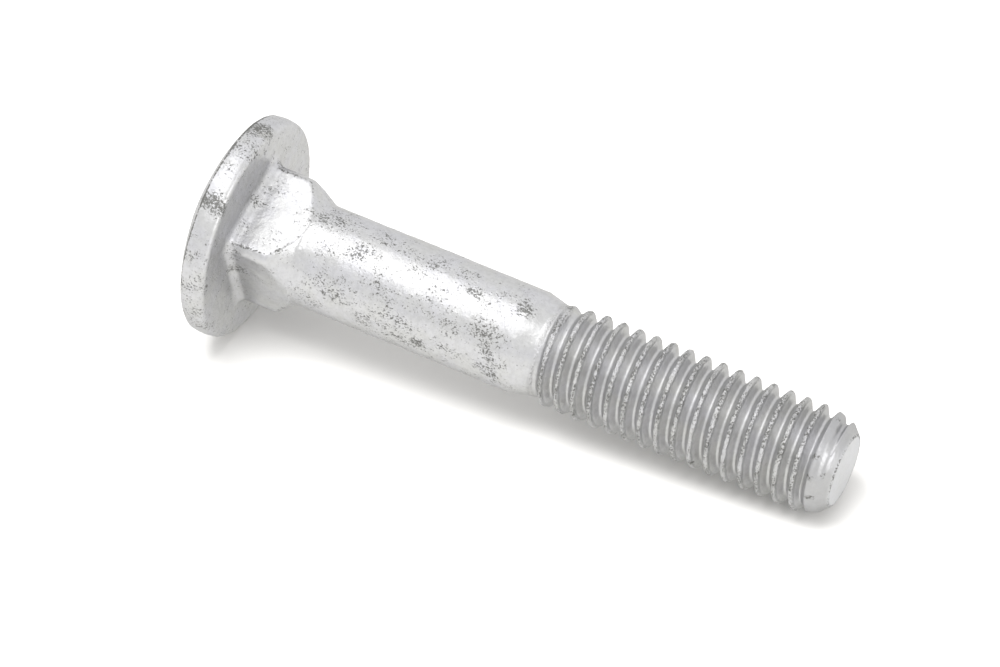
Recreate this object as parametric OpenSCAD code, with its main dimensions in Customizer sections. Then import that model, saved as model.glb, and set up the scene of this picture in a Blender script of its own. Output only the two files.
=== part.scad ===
// A galvanised carriage bolt with a domed head, a square neck and a rolled coarse thread.
// It lies as it comes to rest on a flat surface: on the rim of its head and on its last full crest.

/* [Head] */
// Diameter of the round head
head_d = 20.3; // [17:0.1:26]
// Thickness of the rim, measured to where it would meet the dome without rounding
rim_h = 2.1; // [1.6:0.1:3.2]
// Rise of the dome above the rim
dome_h = 2.7; // [2:0.1:4]
// Rounding of the edge between the rim and the dome
rim_top_r = 0.3; // [0.1:0.1:0.9]
// Rounding of the edge between the rim and the flat underside
rim_bottom_r = 0.5; // [0.1:0.05:0.6]

/* [Square neck] */
// Width of the neck across its flats
neck_w = 9.55; // [9.5:0.05:10.5]
// Width of the neck across its rounded corners
neck_corner_d = 12.7; // [12:0.1:13.4]
// Distance from the head to where the corners start to run down to the shank
neck_h = 3.8; // [2:0.1:6]
// Angle between the axis and the cone that ends the corners
neck_cone_angle = 39.5; // [25:0.5:50]
// Radius of the hollow fillet between the neck and the head
neck_root_r = 0.9; // [0.4:0.1:1.2]
// Turn of the neck about the axis, as the bolt lies
neck_turn = 20; // [0:1:89]

/* [Shank] */
// Diameter of the plain shank
shank_d = 9.45; // [9.4:0.05:9.6]
// Length from the underside of the head to the tip
bolt_l = 57.15; // [50:0.05:100]
// Length from the underside of the head to where the shank starts to taper
plain_l = 27.1; // [26:0.05:28]
// Length of the taper from the shank down to the thread's blank
shank_taper_l = 1.95; // [1.4:0.05:4]

/* [Thread] */
// Threads in each inch of length
threads_per_inch = 16; // [14:1:18]
// Diameter over the crests
thread_d = 9.38; // [9.2:0.02:9.4]
// Depth from crest to root
thread_depth = 0.92; // [0.7:0.02:0.96]
// Length from the tip to the first full turn
thread_l = 24.45; // [18:0.05:25]
// Turns over which the thread rises from the bare blank to its full depth
run_out_turns = 2.7; // [2:0.1:3.4]
// Diameter of the blank that the thread is rolled on
blank_d = 8.5; // [8.3:0.05:8.7]
// Angle of the thread's flanks to a plane across the axis
flank_angle = 30; // [28:1:32]
// Width of the flat that is left on each crest
crest_w = 0.2; // [0.15:0.01:0.3]

/* [Tip] */
// Distance from the end face to the last full crest on the side that the bolt lies on
last_crest = 2.55; // [2:0.05:4]
// Diameter of the flat end face
tip_d = 6.5; // [6:0.1:7.2]
// Length of the chamfer behind the end face
tip_chamfer_l = 0.8; // [0.5:0.1:1.2]
// Diameter where the chamfer meets the worn taper of the last turns
tip_taper_d = 8.2; // [7.8:0.1:8.8]

/* [Hidden] */
$fn = 96;
steel = [0.74, 0.75, 0.76];
// How far fused shapes reach into each other
lap = 0.3;
// Millimetres in an inch
inch = 25.4;
// Steps of the thread in one turn
turn_steps = 36;
// Height by which the thread is drawn over its crests, for its round outline to trim
crest_extra = 0.1;
// Height of the step from the end of the shank's taper down to the blank
blank_step = 0.03;
// Turn of the head's seam about the axis, which keeps the seam off the line that the head lies on
head_seam = 3.7;

// Head, with the underside at zero and the dome below it
head_r = head_d / 2;
dome_r = (head_r ^ 2 + dome_h ^ 2) / (2 * dome_h);
dome_z = dome_r - dome_h - rim_h;
rim_top_x = head_r - rim_top_r;
rim_top_z = dome_z - sqrt((dome_r - rim_top_r) ^ 2 - rim_top_x ^ 2);
dome_edge_x = rim_top_x * dome_r / (dome_r - rim_top_r);

// Neck and shank
corner_r = neck_corner_d / 2;
shank_r = shank_d / 2;
// The cone runs on a little way inside the shank, so that the two meet in a clean circle
cone_end_r = shank_r - lap;
cone_l = (corner_r - cone_end_r) / tan(neck_cone_angle);

// Thread, from the bare blank to the tip
pitch = inch / threads_per_inch;
thread_r = thread_d / 2;
root_r = thread_r - thread_depth;
blank_r = blank_d / 2;
full_z = bolt_l - thread_l;
rise_z = full_z - run_out_turns * pitch;
flank_w = thread_depth * tan(flank_angle);
crest_half_w = crest_w / 2 - crest_extra * tan(flank_angle);
root_half_w = (pitch - crest_w) / 2 - flank_w;

// How the bolt lies: on the rounding under its rim and on the far edge of its last full crest
rest_z = bolt_l - last_crest;
rest_x = head_r - rim_bottom_r - thread_r;
lie_angle = acos(-rim_bottom_r / norm([rest_x, rest_z + rim_bottom_r]))
  - atan2(rest_z + rim_bottom_r, rest_x);
rest_h = rest_z * sin(lie_angle) + thread_r * cos(lie_angle);
// Middle of the bolt's length along the surface: from the far side of the dome to the edge of the end face
middle_x = (dome_z * cos(lie_angle) - dome_r + bolt_l * cos(lie_angle) + tip_d / 2 * sin(lie_angle)) / 2;

// The round head: the cap of a sphere on a thick rim, with both edges rounded
module head() {
  rotate([0, 0, head_seam]) rotate_extrude() {
    intersection() {
      translate([0, dome_z]) circle(dome_r);
      translate([0, -rim_h - dome_h]) square([dome_edge_x, rim_h + dome_h]);
    }
    translate([rim_top_x, rim_top_z]) intersection() {
      circle(rim_top_r);
      translate([0, -rim_top_r]) square([rim_top_r, 2 * rim_top_r]);
    }
    translate([0, rim_top_z]) square([head_r, -rim_top_z - rim_bottom_r]);
    translate([0, -rim_bottom_r]) square([head_r - rim_bottom_r, rim_bottom_r]);
    translate([head_r - rim_bottom_r, -rim_bottom_r]) circle(rim_bottom_r);
  }
}

// A square prism, centred on the axis
module square_bar(w, h) {
  translate([-w / 2, -w / 2, 0]) cube([w, w, h]);
}

// The square neck: its corners are rounded and run down to the shank on a cone
module neck() {
  rotate([0, 0, neck_turn]) intersection() {
    translate([0, 0, -lap]) square_bar(neck_w, lap + neck_h + cone_l);
    union() {
      translate([0, 0, -lap]) cylinder(h = lap + neck_h, r = corner_r);
      translate([0, 0, neck_h]) cylinder(h = cone_l, r1 = corner_r, r2 = cone_end_r);
    }
  }
}

// The hollow fillet where the neck grows out of the head
module neck_root() {
  rotate([0, 0, neck_turn]) intersection() {
    difference() {
      translate([0, 0, -lap]) square_bar(neck_w + 2 * neck_root_r, lap + neck_root_r);
      for (side = [0:3]) rotate([0, 0, side * 90])
        translate([neck_w / 2 + neck_root_r, -head_r, neck_root_r])
          rotate([-90, 0, 0]) cylinder(h = head_d, r = neck_root_r);
    }
    rotate_extrude() difference() {
      translate([0, -lap]) square([corner_r + neck_root_r, lap + neck_root_r]);
      translate([corner_r + neck_root_r, neck_root_r]) circle(neck_root_r);
    }
  }
}

// The plain shank and its taper down to the blank
module shank() {
  translate([0, 0, -lap]) cylinder(h = lap + plain_l, r = shank_r);
  translate([0, 0, plain_l]) cylinder(h = shank_taper_l, r1 = shank_r, r2 = blank_r + blank_step);
}

// Share of its full height and depth that the thread has at z
function rise(z) = max(0, min(1, (z - rise_z) / (full_z - rise_z)));

// One pitch of the thread's profile: [distance from the crest's middle, radius], twice a crest and twice a root
profile = [
  [-crest_half_w, thread_r + crest_extra],
  [crest_half_w, thread_r + crest_extra],
  [pitch / 2 - root_half_w, root_r],
  [pitch / 2 + root_half_w, root_r]
];

corners = len(profile);

function thread_point(step, row, z0) =
  let (
    p = profile[row % corners],
    z = z0 + pitch * (floor(row / corners) + step / turn_steps) + p.x,
    r = blank_r + rise(z) * (p.y - blank_r)
  )
  [r * cos(360 * step / turn_steps), r * sin(360 * step / turn_steps), z];

// A solid screw that starts a turn early and ends a turn late, each time in a helical step
module long_screw() {
  turns = ceil((bolt_l - plain_l) / pitch) + 2;
  z0 = rest_z - crest_w / 2 - pitch * (ceil((rest_z - plain_l) / pitch) + 1);
  rows = corners * turns;
  steps = turn_steps;
  // The next point round the turn: the seam joins the last step to the first one a pitch further on
  function at(step, row) = step < steps ? step * rows + row : row + corners;
  points = concat(
    [for (step = [0:steps - 1]) for (row = [0:rows - 1]) thread_point(step, row, z0)],
    [[0, 0, z0 + pitch], [0, 0, z0 + pitch * turns]]
  );
  foot = steps * rows;
  top = foot + 1;
  walls = [for (step = [0:steps - 1]) for (row = [0:rows - 2 - (step < steps - 1 ? 0 : corners)])
    each [
      [at(step, row), at(step, row + 1), at(step + 1, row + 1)],
      [at(step, row), at(step + 1, row + 1), at(step + 1, row)]
    ]];
  foot_loop = concat([for (step = [0:steps - 1]) at(step, 0)], [for (row = [corners:-1:1]) at(0, row)]);
  top_loop = concat(
    [for (step = [0:steps - 1]) at(step, rows - 1)],
    [for (row = [rows - 2:-1:rows - 1 - corners]) at(steps - 1, row)]
  );
  function fan(loop, centre, turned) = [for (i = [0:len(loop) - 1])
    turned
      ? [centre, loop[(i + 1) % len(loop)], loop[i]]
      : [centre, loop[i], loop[(i + 1) % len(loop)]]];
  polyhedron(points, concat(walls, fan(foot_loop, foot, false), fan(top_loop, top, true)));
}

// The threaded end: the screw trimmed to its crests, its run-out and the shape of the tip
module threaded_end() {
  intersection() {
    long_screw();
    rotate_extrude() polygon([
      [0, plain_l + lap],
      [blank_r + crest_extra, plain_l + lap],
      [blank_r + crest_extra, rise_z],
      [thread_r, full_z],
      [thread_r, rest_z],
      [tip_taper_d / 2, bolt_l - tip_chamfer_l],
      [tip_d / 2, bolt_l],
      [0, bolt_l]
    ]);
  }
}

module bolt() {
  color(steel) translate([-middle_x, 0, rest_h]) rotate([0, 90 + lie_angle, 0]) {
    head();
    neck_root();
    neck();
    shank();
    threaded_end();
  }
}

bolt();
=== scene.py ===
import math

import bmesh
import bpy
from mathutils import Matrix, Vector, noise


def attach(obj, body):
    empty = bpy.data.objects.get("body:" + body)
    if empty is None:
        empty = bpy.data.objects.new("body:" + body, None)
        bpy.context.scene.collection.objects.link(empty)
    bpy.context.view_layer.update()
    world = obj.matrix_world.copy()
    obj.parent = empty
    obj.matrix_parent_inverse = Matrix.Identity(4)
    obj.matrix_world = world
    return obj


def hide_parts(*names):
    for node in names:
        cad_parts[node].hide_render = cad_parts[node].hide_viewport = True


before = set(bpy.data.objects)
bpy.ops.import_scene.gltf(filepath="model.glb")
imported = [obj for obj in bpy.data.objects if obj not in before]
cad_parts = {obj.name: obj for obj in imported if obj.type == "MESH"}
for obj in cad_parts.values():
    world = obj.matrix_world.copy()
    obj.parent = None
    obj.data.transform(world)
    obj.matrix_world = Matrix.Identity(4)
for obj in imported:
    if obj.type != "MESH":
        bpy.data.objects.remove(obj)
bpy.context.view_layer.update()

# A hot-dip galvanised carriage bolt, lying on its head and on the last crest of its thread.
# It is modelled upright in millimetres, with the head's underside at zero, then laid down in metres.

bolt = {
    "columns": 192,  # faces round the head, neck and shank: 4 x 48, so the neck's corners fall on a column
    "headRadius": 10.15,
    "rimHeight": 2.1,
    "domeRise": 2.7,
    "rimTopRadius": 0.3,
    "rimBottomRadius": 0.5,
    "rimSteps": 9,
    "rimBulge": 0.08,  # how far the rim stands out at its middle
    "headTilt": 0.9,  # degrees that the forged head sits out of square, highest towards tiltTurn
    "tiltTurn": 135,
    "neckHalfWidth": 4.775,
    "neckCornerAngle": 41.25,  # from the middle of a flat to its corner
    "neckHeight": 3.8,
    "neckConeAngle": 39.5,
    "neckRootRadius": 0.9,
    "neckTurn": 20,
    "softStart": 0.3,  # height where the neck starts to be smoothed, and how far from the cone's end it stops
    "softStop": 0.02,
    "softRounds": 2,
    "coneHollow": 0.9,  # reach of the coat that fills the foot of the neck's cone, up and down
    "hollowRounds": 14,
    "shankRadius": 4.725,
    "length": 57.15,
    "taperStart": 27.1,
    "taperEnd": 29.05,
    "threadGap": 0.08,  # gap between the taper and the swept thread, which a bridge closes
    "riseStart": 28.414,  # where the thread would grow out of the bare blank, still under the taper
    "riseEnd": 32.7,
    "lateTurn": 135,  # side where the thread rises last, and how much sooner it does so on the other side
    "earlyRise": 2.2,
    "firstRise": 1.2,  # least distance over which it rises
    "blankRadius": 4.25,
    "pitch": 25.4 / 16,
    "crestRadius": 4.69,
    "threadDepth": 0.92,
    "turnSteps": 160,
    "lastCrest": 54.5,  # middle of the last full crest, on the side that the bolt lies on
    "crestHalf": 0.1,  # from there to the start of the worn tip
    "chamferStart": 56.35,
    "chamferRadius": 4.1,
    "tipRadius": 3.25,
    "dripTurn": 265,  # side on which the zinc has filled the last groove, and by how much
    "dripFill": 0.75,
    "dripStart": 0.2,  # how far past the last crest that starts, and where it is full
    "dripEnd": 0.9,
    "dripWidth": 0.7,  # cosine of the turn inside which it is full
    "tipRings": (0.98, 0.96, 0.93, 0.92, 0.9, 0.88, 0.86, 0.8, 0.7, 0.5),
    "lieAngle": 5.6616,
    "restHeight": 10.0536,
    "middle": 26.1578,
}

# Half of one thread from the crest's middle to the root's middle: share of the pitch, share of the depth
threadHalf = [(0, 0), (0.05, 0.01), (0.09, 0.05), (0.13, 0.14), (0.2, 0.35), (0.27, 0.57), (0.34, 0.79),
              (0.385, 0.91), (0.43, 0.975), (0.5, 1)]

# The zinc's own unevenness, as height in mm and size of the lumps in mm
zincLumps = {"sag": (0.034, 3.0), "ripple": (0.02, 1.3), "grain": (0.009, 0.45), "crestRag": (0.06, 0.3)}
lumpShift = Vector((7.3, 1.9, 4.4))  # keeps the layers of lumps from repeating one another
ragDepth = 0.3  # how far below the crests they are ragged, in mm

tiny = 0.001  # distance in mm below which two places are one


def share(z, start, end):
    # How far z has come from the start to the end, held between 0 and 1
    return min(1.0, max(0.0, (z - start) / (end - start)))


def arc(x, z, radius, start, end, steps):
    # Points on an arc, from the angle start to the angle end in degrees, without its first point
    turns = [math.radians(start + (end - start) * i / steps) for i in range(1, steps + 1)]
    return [(x + radius * math.cos(t), z + radius * math.sin(t)) for t in turns]


def line(x0, z0, x1, z1, steps):
    # Points on a straight line, without its first point
    return [(x0 + (x1 - x0) * i / steps, z0 + (z1 - z0) * i / steps) for i in range(1, steps + 1)]


def chain(bm, points):
    # The points joined to an outline beside the axis, ready to be spun
    verts = [bm.verts.new((x, 0, z)) for x, z in points]
    edges = [bm.edges.new(pair) for pair in zip(verts, verts[1:])]
    return verts + edges


def foldedAngle(co):
    # Angle from the middle of the nearest flat, while the first flat faces along X
    return (math.degrees(math.atan2(co.y, co.x)) + 45) % 90 - 45


def setRadius(co, radius):
    # Moves a place in or out, square to the axis
    factor = radius / max(math.hypot(co.x, co.y), 1e-9)
    co.x *= factor
    co.y *= factor


def neckCone():
    # Radius over the neck's rounded corners, and the height at which their cone meets the shank
    b = bolt
    cornerRadius = b["neckHalfWidth"] / math.cos(math.radians(b["neckCornerAngle"]))
    coneLength = (cornerRadius - b["shankRadius"]) / math.tan(math.radians(b["neckConeAngle"]))
    return cornerRadius, b["neckHeight"] + coneLength


def turnedBody(bm):
    # Head, neck blank, shank and taper, turned in one piece round the axis
    b = bolt
    domeRadius = (b["headRadius"] ** 2 + b["domeRise"] ** 2) / (2 * b["domeRise"])
    domeMiddle = domeRadius - b["domeRise"] - b["rimHeight"]
    edgeX = b["headRadius"] - b["rimTopRadius"]
    edgeZ = domeMiddle - math.sqrt((domeRadius - b["rimTopRadius"]) ** 2 - edgeX ** 2)
    slope = math.degrees(math.atan2(edgeX, domeMiddle - edgeZ))
    cornerRadius, coneEnd = neckCone()
    root = b["neckRootRadius"]
    flatX = b["headRadius"] - b["rimBottomRadius"]
    rows = [(0, domeMiddle - domeRadius)]
    rows += arc(0, domeMiddle, domeRadius, -90, slope - 90, steps=34)
    rows += arc(edgeX, edgeZ, b["rimTopRadius"], slope - 90, 0, steps=6)
    rimSide = line(b["headRadius"], edgeZ, b["headRadius"], -b["rimBottomRadius"], steps=b["rimSteps"])
    for i, (x, z) in enumerate(rimSide, 1):
        rows.append((x + b["rimBulge"] * math.sin(math.pi * i / b["rimSteps"]), z))
    rows += arc(flatX, -b["rimBottomRadius"], b["rimBottomRadius"], 0, 90, steps=5)
    rows += line(flatX, 0, cornerRadius + root, 0, steps=12)
    rows += arc(cornerRadius + root, root, root, -90, -180, steps=7)
    rows += line(cornerRadius, root, cornerRadius, b["neckHeight"], steps=13)
    rows += line(cornerRadius, b["neckHeight"], b["shankRadius"], coneEnd, steps=11)
    rows += line(b["shankRadius"], coneEnd, b["shankRadius"], b["taperStart"], steps=92)
    rows += line(b["shankRadius"], b["taperStart"], b["blankRadius"], b["taperEnd"], steps=9)
    bmesh.ops.spin(bm, geom=chain(bm, rows), cent=(0, 0, 0), axis=(0, 0, 1), angle=math.tau,
                   steps=b["columns"], use_merge=True)
    bmesh.ops.remove_doubles(bm, verts=bm.verts, dist=tiny)


def pressFlats(bm):
    # The four flats of the neck, pressed into the turned blank, with the hollow fillet under the head
    b = bolt
    cornerRadius, coneEnd = neckCone()
    root = b["neckRootRadius"]
    flatX = b["headRadius"] - b["rimBottomRadius"]
    coneSlope = math.tan(math.radians(b["neckConeAngle"]))
    pressed = []
    for v in bm.verts:
        radius = math.hypot(v.co.x, v.co.y)
        if v.co.z < -tiny or v.co.z > coneEnd + tiny or radius < b["shankRadius"] - tiny:
            continue
        cosine = math.cos(math.radians(foldedAngle(v.co)))
        neckRadius = min(b["neckHalfWidth"] / cosine, cornerRadius)
        flatEnd = b["neckHeight"] + (cornerRadius - neckRadius) / coneSlope
        if v.co.z < tiny:  # the underside's rows spread to meet the fillet's outline
            outline = min((b["neckHalfWidth"] + root) / cosine, cornerRadius + root)
            along = share(radius, flatX, cornerRadius + root)
            setRadius(v.co, flatX + (outline - flatX) * along)
        elif v.co.z < root:
            out = radius - cornerRadius
            setRadius(v.co, min((b["neckHalfWidth"] + out) / cosine, cornerRadius + out))
        elif v.co.z <= b["neckHeight"] + tiny:
            setRadius(v.co, neckRadius)
            v.co.z = root + (flatEnd - root) * share(v.co.z, root, b["neckHeight"])
        else:
            along = share(v.co.z, b["neckHeight"], coneEnd)
            setRadius(v.co, neckRadius + (b["shankRadius"] - neckRadius) * along)
            v.co.z = flatEnd + (coneEnd - flatEnd) * along
        pressed.append(v)
    soft = [v for v in pressed if b["softStart"] < v.co.z < coneEnd - b["softStop"]]
    hollow = [v for v in bm.verts if abs(v.co.z - coneEnd) < b["coneHollow"]]
    for verts, rounds in [(soft, b["softRounds"]), (hollow, b["hollowRounds"])]:
        for _ in range(rounds):
            bmesh.ops.smooth_vert(bm, verts=verts, factor=0.5, use_axis_x=True, use_axis_y=True,
                                  use_axis_z=True)


def tiltHead(bm):
    # The head leans a little on the shank, and its fillet takes up the difference
    b = bolt
    slope = math.tan(math.radians(b["headTilt"]))
    towards = Vector((math.cos(math.radians(b["tiltTurn"])), math.sin(math.radians(b["tiltTurn"])), 0))
    for v in bm.verts:
        if v.co.z < b["neckRootRadius"]:
            v.co.z -= slope * v.co.dot(towards) * (1 - share(v.co.z, 0, b["neckRootRadius"]))


def rolledThread():
    # One pitch of the profile, swept round the axis as a screw and trimmed to the run-out and the tip
    b = bolt
    bm = bmesh.new()
    half = [(along * b["pitch"], b["crestRadius"] - deep * b["threadDepth"]) for along, deep in threadHalf]
    profile = half + [(b["pitch"] - z, r) for z, r in half[-2::-1]]
    turnsBelow = math.ceil((b["lastCrest"] - b["taperEnd"]) / b["pitch"]) + 1
    turns = turnsBelow + 2  # up past the end face, to be cut there
    start = b["lastCrest"] - b["pitch"] * turnsBelow
    bmesh.ops.spin(bm, geom=chain(bm, [(r, start + z) for z, r in profile]), cent=(0, 0, 0), axis=(0, 0, 1),
                   dvec=(0, 0, b["pitch"] / b["turnSteps"]), angle=math.tau, steps=b["turnSteps"])
    oneTurn = bm.verts[:] + bm.edges[:] + bm.faces[:]
    for turn in range(1, turns):
        copied = bmesh.ops.duplicate(bm, geom=oneTurn)["geom"]
        turned = [g for g in copied if isinstance(g, bmesh.types.BMVert)]
        bmesh.ops.translate(bm, vec=(0, 0, b["pitch"] * turn), verts=turned)
    bmesh.ops.remove_doubles(bm, verts=bm.verts, dist=tiny)
    threadStart = b["taperEnd"] + b["threadGap"]
    wearStart = b["lastCrest"] + b["crestHalf"]
    cuts = [(threadStart, "below"), (wearStart, None), (b["chamferStart"], None), (b["length"], "above")]
    for z, clear in cuts:
        bmesh.ops.bisect_plane(bm, geom=bm.verts[:] + bm.edges[:] + bm.faces[:], dist=tiny / 2,
                               plane_co=(0, 0, z), plane_no=(0, 0, 1),
                               clear_inner=clear == "below", clear_outer=clear == "above")
    for v in bm.verts:
        radius = math.hypot(v.co.x, v.co.y)
        turn = math.atan2(v.co.y, v.co.x)
        sooner = b["earlyRise"] * (1 - math.cos(turn - math.radians(b["lateTurn"]))) / 2
        rise = min(share(v.co.z + sooner, b["riseStart"], b["riseEnd"]),
                   share(v.co.z, threadStart, threadStart + b["firstRise"]))
        radius = b["blankRadius"] + (radius - b["blankRadius"]) * rise
        worn = b["crestRadius"]
        worn += (b["chamferRadius"] - b["crestRadius"]) * share(v.co.z, wearStart, b["chamferStart"])
        worn += (b["tipRadius"] - b["chamferRadius"]) * share(v.co.z, b["chamferStart"], b["length"])
        radius = min(radius, worn)
        filled = b["dripFill"] * share(math.cos(turn - math.radians(b["dripTurn"])), 0, b["dripWidth"])
        filled *= share(v.co.z, b["lastCrest"] + b["dripStart"], b["lastCrest"] + b["dripEnd"])
        setRadius(v.co, radius + (worn - radius) * filled)
    return bm


def closeTip(bm):
    # Rings drawn in towards the axis, then a fan in the middle
    rim = [e for e in bm.edges if e.is_boundary and e.verts[0].co.z > bolt["length"] - tiny]
    for shrink in bolt["tipRings"]:
        grown = bmesh.ops.extrude_edge_only(bm, edges=rim)["geom"]
        inner = [g for g in grown if isinstance(g, bmesh.types.BMVert)]
        bmesh.ops.scale(bm, vec=(shrink, shrink, 1), verts=inner)
        rim = [g for g in grown if isinstance(g, bmesh.types.BMEdge) and g.is_boundary]
    face = bmesh.ops.holes_fill(bm, edges=rim, sides=0)["faces"]
    bmesh.ops.poke(bm, faces=face)


def lumpHeight(co):
    # How far the zinc stands out or lies back here, in mm
    height = 0.0
    for name, (depth, size) in zincLumps.items():
        value = noise.noise(co / size + lumpShift * len(name))
        if name == "crestRag":  # only along the crests
            radius = math.hypot(co.x, co.y)
            onThread = share(co.z, bolt["riseStart"] + 1, bolt["riseEnd"])
            value *= onThread * share(radius, bolt["crestRadius"] - ragDepth, bolt["crestRadius"])
        height += depth * value
    return height


def coatWithZinc(bm):
    bm.normal_update()
    moves = [(v, v.normal * lumpHeight(v.co)) for v in bm.verts]
    for v, move in moves:
        v.co += move


def makeBolt():
    b = bolt
    bm = bmesh.new()
    turnedBody(bm)
    pressFlats(bm)
    bmesh.ops.rotate(bm, verts=bm.verts, cent=(0, 0, 0),
                     matrix=Matrix.Rotation(math.radians(b["neckTurn"]), 3, "Z"))
    tiltHead(bm)
    print("head, neck and shank:", len(bm.faces), "faces")
    thread = rolledThread()
    swept = bpy.data.meshes.new("swept")
    thread.to_mesh(swept)
    thread.free()
    bm.from_mesh(swept)
    bpy.data.meshes.remove(swept)
    seam = [e for e in bm.edges if e.is_boundary and e.verts[0].co.z < b["riseEnd"]]
    bmesh.ops.bridge_loops(bm, edges=seam)
    closeTip(bm)
    bmesh.ops.recalc_face_normals(bm, faces=bm.faces)
    coatWithZinc(bm)
    lay = Matrix.Translation((-b["middle"], 0, b["restHeight"])) @ Matrix.Rotation(
        math.radians(90 + b["lieAngle"]), 4, "Y")
    bmesh.ops.transform(bm, matrix=Matrix.Scale(0.001, 4) @ lay, verts=bm.verts)
    for f in bm.faces:
        f.smooth = True
    mesh = bpy.data.meshes.new("carriage_bolt")
    bm.to_mesh(mesh)
    openEdges = sum(1 for e in bm.edges if not e.is_manifold)
    print("bolt:", len(bm.faces), "faces,", openEdges, "open edges")
    bm.free()
    piece = bpy.data.objects.new("carriage_bolt", mesh)
    bpy.context.scene.collection.objects.link(piece)
    return piece


def colour(text):
    # sRGB hex to linear
    parts = [int(text[i:i + 2], 16) / 255 for i in (1, 3, 5)]
    return [p / 12.92 if p <= 0.04045 else ((p + 0.055) / 1.055) ** 2.4 for p in parts] + [1]


def addNode(tree, kind, settings=None, inputs=None):
    node = tree.nodes.new(kind)
    for name, value in (settings or {}).items():
        setattr(node, name, value)
    for name, value in (inputs or {}).items():
        if isinstance(value, bpy.types.NodeSocket):
            tree.links.new(value, node.inputs[name])
        else:
            node.inputs[name].default_value = value
    return node


zinc = {
    "cool": "#CBCBCE",  # the coat drifts between these two
    "warm": "#CACACA",
    "drossAndShade": "#7A7A78",  # specks, a faint fine cloud over the whole coat, and painted shade lines along the edges of the head's rim and the neck
    "ash": 0.14,
    "smudge": "#A09F97",  # soft patches in the clusters, and a thin cast on the thread
    "smudgeInMarks": 0.45,
    "smudgeOnThread": 0.14,
    "grey": "#9F9FA1",  # worn tip
    "greyAtTip": 0.5,
    "paintedFaceLight": "#E6E7EA",  # painted light: the end face is made paler, in place of light it does not get
    "paintedLightOnFace": 0.5,
    "metallic": 0.85,
    "edgeTint": "#D2D2D2",
    "roughness": 0.29,
    "rougherOnThread": 0.025,
    "rougherAtTip": 0.03,
    "rougherOnFace": 0.12,
    "rougherOnHead": 0.07,
    "headFade": (0.4, 1.0),  # heights above the underside, in mm, between which that fades
    "rougherOnSpecks": 0.16,
    "patchShare": 0.55,  # weight of the coarse noise in the specks
    "speckLevels": (0.872, 1.02),  # sum of the noises at which a speck begins to show, and is full
    "markStretch": 1.5,  # how far the clusters of dross are drawn out along the axis
    # Painted shade: how far the dark specks gather into a line along the rim's edge to the dome and along the
    # neck's edges
    "shadeLineOnRimEdge": 0.22,
    "shadeLinesOnNeckEdges": 0.17,
    "edgeWidth": 0.16,  # mm
    "calmPastTaper": 0.12,  # how much less the coat is specked there
    "calmOnNeck": 0.04,
    "calmNeckAt": (2.8, 2.2),  # middle and half length of that stretch, in mm
    "fleckLevels": (0.45, 0.56),
    "fleckPatches": (0.34, 0.6),
    "driftLevels": (0.36, 0.64),
    "ashLevels": (0.38, 0.66),
    "smudgeLevels": (0.27, 0.4),
    "crestReach": (-0.32, -0.02),  # mm from the crest's line: where the flecks begin, and are full
    "lumpBump": 0.00005,  # m
    "grainBump": 0.000022,
    "crestBump": 0.0002,
    "speckBump": 0.00005,
}

# Noise in the coat: size of its lumps in mm, detail, roughness and how far it is drawn out along the axis
coatNoise = {
    "fine": (0.17, 3.0, 0.62, 1.2),  # single specks
    "coarse": (1.4, 3.0, 0.65, 1.8),  # places where specks gather by themselves
    "flecks": (0.15, 2.0, 0.6),  # rough spots along the crests and round the end face
    "fleckPatches": (2.0, 2.0, 0.6),
    "drift": (2.4, 4.0, 0.65),
    "ash": (0.5, 3.0, 0.7),
    "cloud": (0.8, 2.0, 0.5),
    "lumps": (0.9, 3.0, 0.6),
    "grain": (0.24, 3.0, 0.6),
    "ragged": (0.2, 2.0, 0.6),
}

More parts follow.
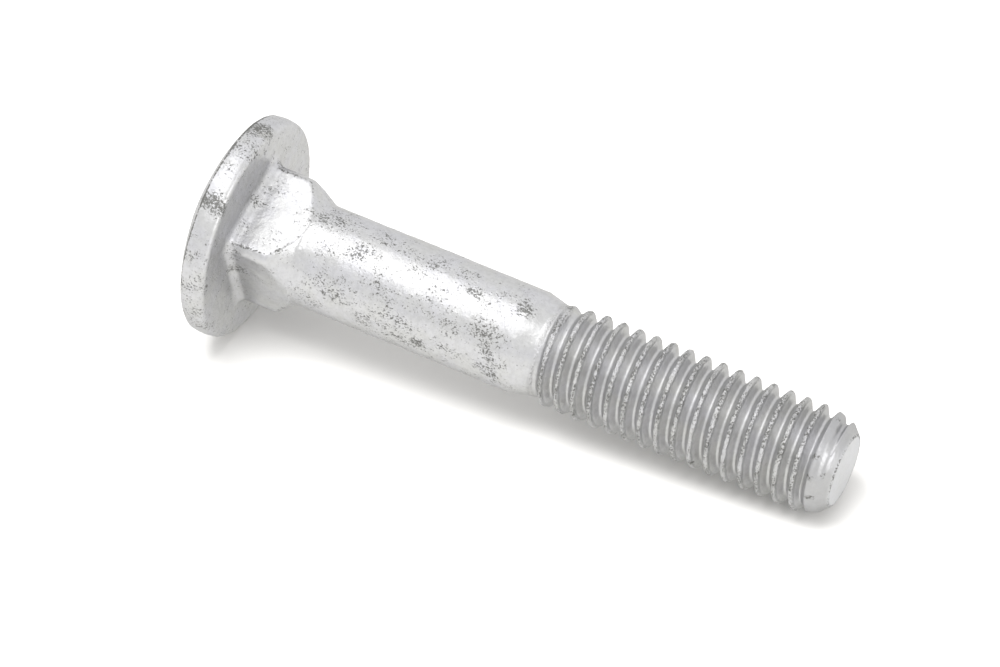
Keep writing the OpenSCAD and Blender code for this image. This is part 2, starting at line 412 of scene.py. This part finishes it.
# Where the coat carries thick clusters of dross: distance from the head in mm, angle round the axis,
# distance from the axis in mm, size in mm and strength
drossMarks = [
    (-1.2, 172, 10.1, 1.8, 0.185), (-0.6, 187, 10.1, 2.1, 0.11), (-1.6, 221, 10.1, 1.1, 0.17),
    (-0.2, 223, 10.1, 1.4, 0.17), (-0.8, 248, 10.1, 1, 0.097), (0.1, 154, 6, 1.1, 0.15),
    (0.6, 197, 5.2, 1, 0.13), (0.2, 250, 5.6, 1.4, 0.17), (0.8, 272, 5.3, 1, 0.13),
    (1, 290, 5.3, 0.9, 0.12), (3.4, 252, 5.6, 0.8, 0.12), (7.7, 177, 4.7, 2.2, 0.089),
    (10.2, 250, 4.7, 2, 0.12), (11.2, 213, 4.7, 0.9, 0.11), (11.8, 197, 4.7, 1.3, 0.075),
    (13.2, 277, 4.7, 1.4, 0.12), (14.2, 230, 4.7, 1.9, 0.073), (16.2, 275, 4.7, 2.8, 0.1),
    (18.6, 278, 4.7, 1.1, 0.16), (19, 238, 4.7, 1.2, 0.098), (21, 241, 4.7, 1.5, 0.089),
    (22.2, 196, 4.7, 1.2, 0.11), (23.9, 198, 4.7, 1.4, 0.11), (24.3, 232, 4.7, 1.7, 0.11),
    (25.2, 246, 4.7, 1.5, 0.12), (25.8, 236, 4.7, 1.5, 0.09), (25.8, 267, 4.7, 1.9, 0.12),
    (27, 194, 4.7, 1.3, 0.15), (9.6, 181, 4.7, 1.5, 0.081), (12.4, 179, 4.7, 1.5, 0.081),
    (14.6, 178, 4.7, 1.6, 0.073), (17.6, 177, 4.7, 1.8, 0.073), (20.4, 179, 4.7, 1.5, 0.073),
    (25.6, 184, 4.7, 1.8, 0.081), (15.2, 243, 4.7, 1.5, 0.081), (17.2, 236, 4.7, 1.2, 0.098),
    (26.4, 282, 4.7, 1.7, 0.11), (30.1, 203, 4.4, 0.8, 0.1), (30.1, 217, 4.4, 0.8, 0.1),
    (30.2, 233, 4.5, 0.8, 0.1), (30.25, 247, 4.5, 0.8, 0.1), (30.3, 262, 4.5, 0.7, 0.1),
    (32.4, 203, 4.6, 0.9, 0.16), (35.6, 198, 4.6, 0.9, 0.12), (35.9, 176, 4.6, 0.8, 0.16),
    (38, 239, 4.7, 0.9, 0.12), (45.1, 190, 4.6, 1, 0.16), (45.05, 296, 4.7, 0.6, 0.4),
    (49.6, 183, 4.6, 1, 0.16), (52.4, 207, 4.6, 0.9, 0.1), (54.9, 224, 4.6, 0.8, 0.28),
    (55.4, 247, 4.4, 0.6, 0.27), (55.7, 272, 4.3, 0.5, 0.27), (56.5, 240, 4.1, 0.6, 0.3),
    (55.5, 162, 4.5, 0.8, 0.2), (-0.9, 266, 10.1, 2.2, 0.07), (-1.2, 284, 10.1, 2.4, 0.07),
    (-1, 302, 10.1, 2, 0.06),
]


def drawnOut(tree, place, stretch):
    # Coordinates on which a pattern comes out longer along the axis
    node = addNode(tree, "ShaderNodeMapping", None, {"Vector": place, "Scale": (1, 1, 1 / stretch)})
    return node.outputs["Vector"]


def noiseAt(tree, place, size, detail, roughness, stretch=1.0):
    # Noise with lumps of the given size in mm, drawn out along the axis by stretch
    if stretch != 1.0:
        place = drawnOut(tree, place, stretch)
    node = addNode(tree, "ShaderNodeTexNoise", None, {
        "Vector": place, "Scale": 1 / size, "Detail": detail, "Roughness": roughness})
    return node.outputs["Fac"]


def rampOf(tree, value, low, high, start=0.0, end=1.0):
    node = addNode(tree, "ShaderNodeMapRange", {"interpolation_type": "SMOOTHSTEP"}, {
        "Value": value, "From Min": low, "From Max": high, "To Min": start, "To Max": end})
    return node.outputs["Result"]


def mathOf(tree, operation, *values):
    return addNode(tree, "ShaderNodeMath", {"operation": operation}, dict(enumerate(values))).outputs[0]


def mixOf(tree, amount, first, second):
    # The mix node's colour sockets, by number: their names are shared with its other data types
    node = addNode(tree, "ShaderNodeMix", {"data_type": "RGBA"}, {0: amount, 6: first, 7: second})
    return node.outputs[2]


def markField(tree, own):
    # Strength of the nearest thick cluster of dross, fading from its middle
    stretch = zinc["markStretch"]
    shrunk = drawnOut(tree, own, stretch)
    field = None
    for z, angle, radius, size, strength in drossMarks:
        turn = math.radians(angle)
        away = addNode(tree, "ShaderNodeVectorMath", {"operation": "DISTANCE"}, {
            0: shrunk, 1: (radius * math.cos(turn), radius * math.sin(turn), z / stretch)}).outputs["Value"]
        mark = rampOf(tree, away, 0.2 * size, size, strength, 0.0)
        field = mark if field is None else mathOf(tree, "MAXIMUM", field, mark)
    return field


def bandAt(tree, value, middle, halfWidth):
    # 1 on a band round the middle value, fading to 0 at its edges
    away = mathOf(tree, "ABSOLUTE", mathOf(tree, "SUBTRACT", value, middle))
    return rampOf(tree, away, 0.3 * halfWidth, halfWidth, 1.0, 0.0)


def neckEdges(tree, own, z, radius):
    # 1 along the edges of the neck's four flats, where they meet its rounded corners and its cone, where
    # painted shade lines are drawn
    b = bolt
    cornerRadius, coneEnd = neckCone()
    turned = addNode(tree, "ShaderNodeMapping", {"vector_type": "TEXTURE"}, {
        "Vector": own, "Rotation": (0, 0, math.radians(b["neckTurn"]))}).outputs["Vector"]
    across = addNode(tree, "ShaderNodeVectorMath", {"operation": "ABSOLUTE"}, {0: turned}).outputs["Vector"]
    across = addNode(tree, "ShaderNodeSeparateXYZ", None, {"Vector": across})
    toFlat = mathOf(tree, "MAXIMUM", across.outputs["X"], across.outputs["Y"])
    outline = addNode(tree, "ShaderNodeMapRange", None, {
        "Value": z, "From Min": b["neckHeight"], "From Max": coneEnd,
        "To Min": cornerRadius, "To Max": b["shankRadius"]}).outputs["Result"]
    onFlat = bandAt(tree, toFlat, b["neckHalfWidth"], zinc["edgeWidth"])
    onOutline = bandAt(tree, mathOf(tree, "SUBTRACT", radius, outline), 0.0, 0.2)
    both = mathOf(tree, "MULTIPLY", onFlat, onOutline)
    # The edges of the flat that faces up as the bolt lies, and of the one opposite, get the full painted
    # shade line
    stronger = rampOf(tree, across.outputs["X"], b["neckHalfWidth"] - 0.4, b["neckHalfWidth"] - 0.2,
                      0.3, 1.0)
    both = mathOf(tree, "MULTIPLY", both, stronger)
    onNeck = bandAt(tree, z, 0.5 * b["neckHeight"] + 1.0, b["neckHeight"])
    return mathOf(tree, "MULTIPLY", both, onNeck)


def crestLine(tree, own, z, radius):
    # Distance from the axis that the thread's crest has here, with the same uneven start as the mesh
    b = bolt
    late = math.radians(b["lateTurn"])
    towards = addNode(tree, "ShaderNodeVectorMath", {"operation": "DOT_PRODUCT"}, {
        0: own, 1: (math.cos(late), math.sin(late), 0)}).outputs["Value"]
    cosine = mathOf(tree, "DIVIDE", towards, radius)
    half = 0.5 * b["earlyRise"]
    sooner = mathOf(tree, "MULTIPLY_ADD", cosine, -half, mathOf(tree, "ADD", z, half))
    lines = []
    for place, start, end in [(sooner, b["riseStart"], b["riseEnd"]),
                              (z, b["taperEnd"], b["taperEnd"] + b["firstRise"])]:
        lines.append(addNode(tree, "ShaderNodeMapRange", None, {
            "Value": place, "From Min": start, "From Max": end, "To Min": b["blankRadius"],
            "To Max": b["crestRadius"]}).outputs["Result"])
    return mathOf(tree, "MINIMUM", *lines)


def zincMaterial():
    # Hot-dip galvanised zinc: a dull silvery coat, softly lumpy, with small dark specks of dross in clusters,
    # painted shade lines along the head's and neck's edges and painted light on the end face
    material = bpy.data.materials.new("hot-dip galvanised zinc")
    material.use_nodes = True
    tree = material.node_tree
    tree.nodes.clear()
    b = bolt
    place = addNode(tree, "ShaderNodeTexCoord").outputs["Object"]
    # Own coordinates of the bolt in mm: Z runs from the head to the tip
    own = addNode(tree, "ShaderNodeMapping", {"vector_type": "TEXTURE"}, {
        "Vector": place, "Location": (-b["middle"] / 1000, 0, b["restHeight"] / 1000),
        "Rotation": (0, math.radians(90 + b["lieAngle"]), 0),
        "Scale": (0.001, 0.001, 0.001)}).outputs["Vector"]
    axes = addNode(tree, "ShaderNodeSeparateXYZ", None, {"Vector": own})
    z = axes.outputs["Z"]
    flat = addNode(tree, "ShaderNodeVectorMath", {"operation": "MULTIPLY"}, {0: own, 1: (1, 1, 0)})
    radius = addNode(tree, "ShaderNodeVectorMath", {"operation": "LENGTH"}, {
        0: flat.outputs["Vector"]}).outputs["Value"]

    # Edges: painted shade lines of packed dark specks along the rim's edge to the dome and the neck's flats;
    # a rough coat along the crests and the edge of the end face
    domeEdge = mathOf(tree, "MULTIPLY", bandAt(tree, z, -b["rimHeight"], zinc["edgeWidth"]),
                      rampOf(tree, radius, b["headRadius"] - 0.35, b["headRadius"] - 0.1))
    onThread = rampOf(tree, z, b["taperEnd"] - 0.3, b["taperEnd"] + 0.3)
    fromCrest = mathOf(tree, "SUBTRACT", radius, crestLine(tree, own, z, radius))
    crest = mathOf(tree, "MULTIPLY", rampOf(tree, fromCrest, *zinc["crestReach"]), onThread)
    patchy = rampOf(tree, noiseAt(tree, own, *coatNoise["fleckPatches"]), *zinc["fleckPatches"], 0.78, 1.0)
    crest = mathOf(tree, "MULTIPLY", crest, patchy)
    endEdge = mathOf(tree, "MULTIPLY", rampOf(tree, z, b["length"] - 0.35, b["length"] - 0.1),
                     bandAt(tree, radius, b["tipRadius"], 0.3))
    endEdge = mathOf(tree, "MULTIPLY", endEdge, patchy)
    # Painted shade lines, made of packed dark specks, along the neck's edges and the rim's edge to the dome
    edges = mathOf(tree, "MULTIPLY", neckEdges(tree, own, z, radius), zinc["shadeLinesOnNeckEdges"])
    edges = mathOf(tree, "MULTIPLY_ADD", domeEdge, zinc["shadeLineOnRimEdge"], edges)

    # Specks show where fine noise, coarse noise, the clusters and the painted shade lines along the edges add
    # up
    fine = noiseAt(tree, own, *coatNoise["fine"])
    coarse = noiseAt(tree, own, *coatNoise["coarse"])
    level = mathOf(tree, "MULTIPLY_ADD", coarse, zinc["patchShare"], fine)
    marks = markField(tree, own)
    level = mathOf(tree, "ADD", level, marks)
    level = mathOf(tree, "ADD", level, edges)
    calm = rampOf(tree, z, b["taperStart"] - 0.5, b["taperEnd"] + 0.3, 0.0, zinc["calmPastTaper"])
    onNeck = mathOf(tree, "MULTIPLY", bandAt(tree, z, *zinc["calmNeckAt"]), zinc["calmOnNeck"])
    level = mathOf(tree, "SUBTRACT", level, mathOf(tree, "ADD", calm, onNeck))
    specks = rampOf(tree, level, *zinc["speckLevels"])
    flecks = mathOf(tree, "MULTIPLY", mathOf(tree, "MAXIMUM", crest, endEdge),
                    noiseAt(tree, own, *coatNoise["flecks"]))
    specks = mathOf(tree, "MAXIMUM", specks, rampOf(tree, flecks, *zinc["fleckLevels"]))

    # The coat's colour: its drift, the faint cloud, the soft patches, the thread, the tip, painted light on
    # the end face, and the specks with their painted shade lines along edges
    drift = rampOf(tree, noiseAt(tree, own, *coatNoise["drift"]), *zinc["driftLevels"])
    ash = rampOf(tree, noiseAt(tree, own, *coatNoise["ash"]), *zinc["ashLevels"], 0.0, zinc["ash"])
    coat = mixOf(tree, drift, colour(zinc["cool"]), colour(zinc["warm"]))
    coat = mixOf(tree, ash, coat, colour(zinc["drossAndShade"]))
    cloud = mathOf(tree, "MULTIPLY_ADD", noiseAt(tree, own, *coatNoise["cloud"]), 0.3, marks)
    cloud = mathOf(tree, "SUBTRACT", cloud, calm)
    smudge = rampOf(tree, cloud, *zinc["smudgeLevels"], 0.0, zinc["smudgeInMarks"])
    coat = mixOf(tree, smudge, coat, colour(zinc["smudge"]))
    wearStart = b["lastCrest"] + b["crestHalf"]
    atTip = rampOf(tree, z, wearStart, wearStart + 0.5)
    offEndFace = rampOf(tree, radius, b["tipRadius"] - 0.3, b["tipRadius"] + 0.3)
    dull = mathOf(tree, "MULTIPLY", mathOf(tree, "MULTIPLY", onThread, zinc["smudgeOnThread"]), offEndFace)
    coat = mixOf(tree, dull, coat, colour(zinc["smudge"]))
    worn = mathOf(tree, "MULTIPLY", mathOf(tree, "MULTIPLY", atTip, zinc["greyAtTip"]), offEndFace)
    coat = mixOf(tree, worn, coat, colour(zinc["grey"]))
    # Painted light: the end face is mixed towards a paler colour, standing in for light on it
    endFace = mathOf(tree, "MAXIMUM", mathOf(tree, "SUBTRACT", atTip, offEndFace), 0.0)
    paintedFaceLight = mathOf(tree, "MULTIPLY", endFace, zinc["paintedLightOnFace"])
    coat = mixOf(tree, paintedFaceLight, coat, colour(zinc["paintedFaceLight"]))
    coat = mixOf(tree, specks, coat, colour(zinc["drossAndShade"]))

    rough = mathOf(tree, "MULTIPLY_ADD", onThread, zinc["rougherOnThread"], zinc["roughness"])
    rough = mathOf(tree, "MULTIPLY_ADD", atTip, zinc["rougherAtTip"], rough)
    rough = mathOf(tree, "MULTIPLY_ADD", endFace, zinc["rougherOnFace"], rough)
    rough = mathOf(tree, "ADD", rough, rampOf(tree, z, *zinc["headFade"], zinc["rougherOnHead"], 0.0))
    rough = mathOf(tree, "MULTIPLY_ADD", specks, zinc["rougherOnSpecks"], rough)
    lumps = addNode(tree, "ShaderNodeBump", None, {
        "Strength": 1.0, "Distance": zinc["lumpBump"], "Height": noiseAt(tree, own, *coatNoise["lumps"])})
    grain = addNode(tree, "ShaderNodeBump", None, {
        "Strength": 1.0, "Distance": zinc["grainBump"], "Height": noiseAt(tree, own, *coatNoise["grain"]),
        "Normal": lumps.outputs["Normal"]})
    ragged = addNode(tree, "ShaderNodeBump", None, {
        "Strength": 1.0, "Distance": zinc["crestBump"], "Normal": grain.outputs["Normal"],
        "Height": mathOf(tree, "MULTIPLY", crest, noiseAt(tree, own, *coatNoise["ragged"]))})
    raised = addNode(tree, "ShaderNodeBump", None, {
        "Strength": 0.6, "Distance": zinc["speckBump"], "Height": specks, "Normal": ragged.outputs["Normal"]})
    shader = addNode(tree, "ShaderNodeBsdfPrincipled", None, {
        "Base Color": coat, "Metallic": zinc["metallic"], "Specular Tint": colour(zinc["edgeTint"]),
        "Roughness": rough, "Normal": raised.outputs["Normal"]})
    addNode(tree, "ShaderNodeOutputMaterial", None, {"Surface": shader.outputs["BSDF"]})
    return material


studio = {
    "floorSize": 1.6,
    "floorColour": "#EEEDEB",
    "floorGloss": "#FFFFFA",  # the floor as the metal's gloss sees it, and how far it is evened out to that
    "glossShare": 0.58,
    "worldLight": 0.9,
}


def seenDirectly(tree):
    # 1 for what the camera sees, straight or in the metal's gloss
    path = addNode(tree, "ShaderNodeLightPath").outputs
    glossy = mathOf(tree, "MAXIMUM", path["Is Glossy Ray"], path["Is Transmission Ray"])
    return mathOf(tree, "MAXIMUM", path["Is Camera Ray"], glossy)


def makeStudio():
    # White table under soft overhead light
    bpy.ops.mesh.primitive_plane_add(size=studio["floorSize"])
    floor = bpy.context.object
    floor.name = "floor"
    paper = bpy.data.materials.new("matt white paper")
    paper.use_nodes = True
    tree = paper.node_tree
    tree.nodes.clear()
    diffuse = addNode(tree, "ShaderNodeBsdfDiffuse", None, {"Color": colour(studio["floorColour"])})
    even = addNode(tree, "ShaderNodeEmission", None, {"Color": colour(studio["floorGloss"])})
    path = addNode(tree, "ShaderNodeLightPath").outputs
    evened = mathOf(tree, "MULTIPLY", path["Is Glossy Ray"], studio["glossShare"])
    surface = addNode(tree, "ShaderNodeMixShader", None, {
        0: evened, 1: diffuse.outputs[0], 2: even.outputs[0]})
    addNode(tree, "ShaderNodeOutputMaterial", None, {"Surface": surface.outputs[0]})
    floor.data.materials.append(paper)

    world = bpy.data.worlds.new("studio")
    bpy.context.scene.world = world
    world.use_nodes = True
    tree = world.node_tree
    tree.nodes.clear()
    level = addNode(tree, "ShaderNodeMapRange", None, {
        "Value": seenDirectly(tree), "To Min": studio["worldLight"], "To Max": 1.0})
    sky = addNode(tree, "ShaderNodeBackground", None, {
        "Color": (1, 1, 1, 1), "Strength": level.outputs["Result"]})
    addNode(tree, "ShaderNodeOutputWorld", None, {"Surface": sky.outputs[0]})


# Lamps aimed at the bolt: name, place, width and height in m, power in W, and whether the metal mirrors it
softboxes = [
    ("overhead softbox", (-0.1, -0.11, 0.5), 0.66, 0.42, 0.89, True),
    ("fill on the tip's side", (0.45, -0.12, 0.2), 0.3, 0.3, 0.55, True),
    ("key for the shadow", (-0.07, -0.12, 0.5), 0.26, 0.26, 2.1, False),
]


def addSoftbox(name, place, width, height, power, mirrored):
    data = bpy.data.lights.new(name, "AREA")
    data.shape = "RECTANGLE"
    data.size = width
    data.size_y = height
    data.energy = power
    lamp = bpy.data.objects.new(name, data)
    lamp.location = place
    lamp.rotation_euler = (-Vector(place)).to_track_quat("-Z", "Y").to_euler()
    lamp.visible_glossy = mirrored
    bpy.context.scene.collection.objects.link(lamp)


view = {
    "aim": (-0.002062, 0.0, 0.007286),
    "azimuth": 26.792,
    "elevation": 39.926,
    "distance": 0.366087,
    "lens": 151.2,
    "sensor": 36.0,
    "clip": (0.01, 20.0),
}


def makeCamera():
    data = bpy.data.cameras.new("camera")
    data.lens = view["lens"]
    data.sensor_width = view["sensor"]
    data.clip_start, data.clip_end = view["clip"]
    camera = bpy.data.objects.new("camera", data)
    turn, lift = math.radians(view["azimuth"]), math.radians(view["elevation"])
    back = Vector((math.sin(turn) * math.cos(lift), -math.cos(turn) * math.cos(lift), math.sin(lift)))
    camera.location = Vector(view["aim"]) + back * view["distance"]
    camera.rotation_euler = (-back).to_track_quat("-Z", "Y").to_euler()
    bpy.context.scene.collection.objects.link(camera)
    bpy.context.scene.camera = camera


piece = makeBolt()
piece.data.materials.append(zincMaterial())
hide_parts("bolt")
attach(piece, "root")
print("zinc done")

makeStudio()
for softbox in softboxes:
    addSoftbox(*softbox)
makeCamera()
bpy.context.scene.view_settings.view_transform = "Standard"
print("studio and camera done")
